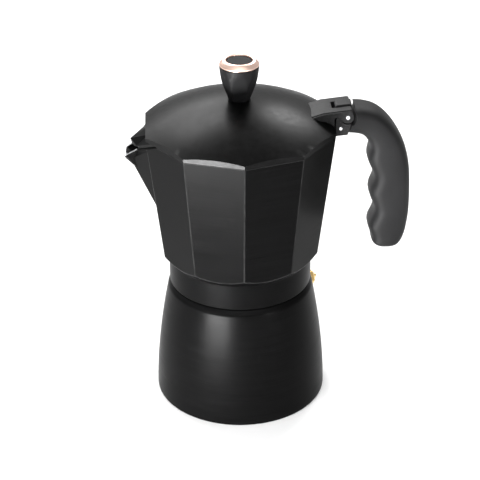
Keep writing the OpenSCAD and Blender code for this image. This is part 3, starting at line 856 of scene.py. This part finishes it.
# %% Knob
knob_base, knob_top, knob_radius = 189.55, 213.3, 11.3
knob_sides, knob_turn = 6, radians(92)
flat_foot, flat_flare = 5.7, 0.325
shoulder_z, seat_z, seat_radius = knob_base + 20.5, knob_base + 22.1, 8.6
knob_waist = [(7.25, 1.6), (7.9, 3.2), (8.45, 5), (9.05, 7.2), (9.65, 9.6), (10.2, 12), (10.65, 14.5),
              (11, 17)]
knob_outline = rounded(
    [(0, knob_base), (6.2, knob_base, 0.4), (6.85, knob_base + 0.6, 0.4)]
    + [(radius, knob_base + height) for radius, height in knob_waist]
    + [(knob_radius, knob_base + 19.6, 0.5), (knob_radius, shoulder_z, 0.3),
       (seat_radius, shoulder_z), (seat_radius, seat_z), (0, seat_z)], closed=False)
knob = turned(knob_outline, steps=144)


def knob_flat(z):
    """Distance from the axis to a flat of the knob at a height."""
    return flat_foot + (z - knob_base - 1) * flat_flare


for vertex in knob.verts:
    radius, z = hypot(vertex.co.x, vertex.co.y), vertex.co.z
    turn = atan2(vertex.co.y, vertex.co.x) + knob_turn
    angle = (turn + pi / knob_sides) % (2 * pi / knob_sides) - pi / knob_sides
    if radius > 5 and knob_base + 0.4 < z < knob_base + 19 and radius * cos(angle) > knob_flat(z):
        set_radius(vertex, knob_flat(z) / cos(angle))
finish_piece(knob, "knob_grip", "lid", "knob_body", [knob_plastic], sharp=18, weighted=False)

ring_depth, disc_depth, ring_bore = 3.15, 1.55, 7.45
ring = turned(rounded([(seat_radius, knob_top - ring_depth), (knob_radius, knob_top - ring_depth, 0.35),
                       (knob_radius, knob_top - 2.3, 0.6), (9.2, knob_top - 0.25, 0.7),
                       (7.9, knob_top, 0.4), (ring_bore, knob_top - 0.5, 0.3),
                       (ring_bore, knob_top - disc_depth), (seat_radius, knob_top - disc_depth)]), 128)
finish_piece(ring, "knob_band", "lid", "knob_ring", [rose_metal], weighted=False)
disc_radius = 7.1
inlay = turned(rounded([(0, knob_top - disc_depth), (disc_radius, knob_top - disc_depth),
                        (disc_radius, knob_top - 0.95, 0.3), (6.2, knob_top - 0.62, 0.5),
                        (0, knob_top - 0.7)], closed=False), 96)
finish_piece(inlay, "knob_disc", "lid", "knob_inlay", [inlay_plastic], weighted=False)

# %% [markdown]
# ## Pieces that keep their measured shape
# The funnel, the filter, the gasket and the small parts inside are stamped or turned with plain edges,
# so their measured shapes stay and only get their finishes.

# %% Finishes for the parts inside
kept = {"valve_spring": spring_metal, "funnel_basket": sheet_metal, "funnel_stem": sheet_metal,
        "basket_screen": sheet_metal, "gasket": gasket_rubber, "filter_plate": sheet_metal,
        "column_cap": sheet_metal, "knob_washer": spring_metal, "knob_screw": spring_metal}
for node, material in kept.items():
    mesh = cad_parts[node].data
    mesh.materials.clear()
    mesh.materials.append(material)
print(len(kept), "measured nodes have their finish")

# %% [markdown]
# ## Floor and light
# The pot stands on a plain pale floor in a pale room. Three soft boxes behind and above give the grey
# bloom on the dome and the top of the grip. A low light in front and a narrow strip at the right draw
# the bright bands on the black wall. A large box above the front lifts the shadows on the floor.
# Places and sizes of the lights are in metres.

# %% Floor and light
floor_mesh = bmesh.new()
floor_half = 6
bmesh.ops.create_grid(floor_mesh, x_segments=1, y_segments=1, size=floor_half)
floor_data = bpy.data.meshes.new("floor")
floor_mesh.to_mesh(floor_data)
floor_mesh.free()
floor = bpy.data.objects.new("floor", floor_data)
bpy.context.scene.collection.objects.link(floor)
floor_finish, _, _ = finish("floor_finish", (0.93, 0.93, 0.93), roughness=0.9)
floor_data.materials.append(floor_finish)

room = bpy.data.worlds.new("room")
room.use_nodes = True
room.node_tree.nodes["Background"].inputs["Color"].default_value = (1, 1, 1, 1)
room.node_tree.nodes["Background"].inputs["Strength"].default_value = 0.5
bpy.context.scene.world = room


def soft_light(name, place, target, size, power):
    """A rectangular area light that faces a point; size is its width and height."""
    data = bpy.data.lights.new(name, "AREA")
    data.shape, data.size, data.size_y, data.energy = "RECTANGLE", size[0], size[1], power
    lamp = bpy.data.objects.new(name, data)
    bpy.context.scene.collection.objects.link(lamp)
    lamp.visible_camera = False
    facing = (Vector(target) - Vector(place)).to_track_quat("-Z", "Y").to_matrix().to_4x4()
    lamp.matrix_world = Matrix.Translation(place) @ facing


soft_light("low_front", (-0.2, -0.3, 0.012), (-0.03, -0.05, 0.15), (0.2, 0.07), 9)
soft_light("strip_right", (0.62, -0.72, 0.2), (0, 0, 0.1), (0.09, 0.38), 2.4)
soft_light("box_behind", (-0.3, 1.0, 0.72), (0, 0, 0.16), (0.7, 0.26), 4)
soft_light("box_above_left", (-0.28, 0.75, 1.02), (0, 0, 0.18), (0.5, 0.3), 7)
soft_light("box_above_right", (0.38, 0.8, 0.85), (0, 0, 0.18), (0.3, 0.26), 5)
soft_light("box_floor", (0, -0.9, 1.2), (0, -0.35, 0), (1.4, 0.8), 10)
bpy.context.scene.view_settings.view_transform = "Standard"
print("floor, room and six lights")
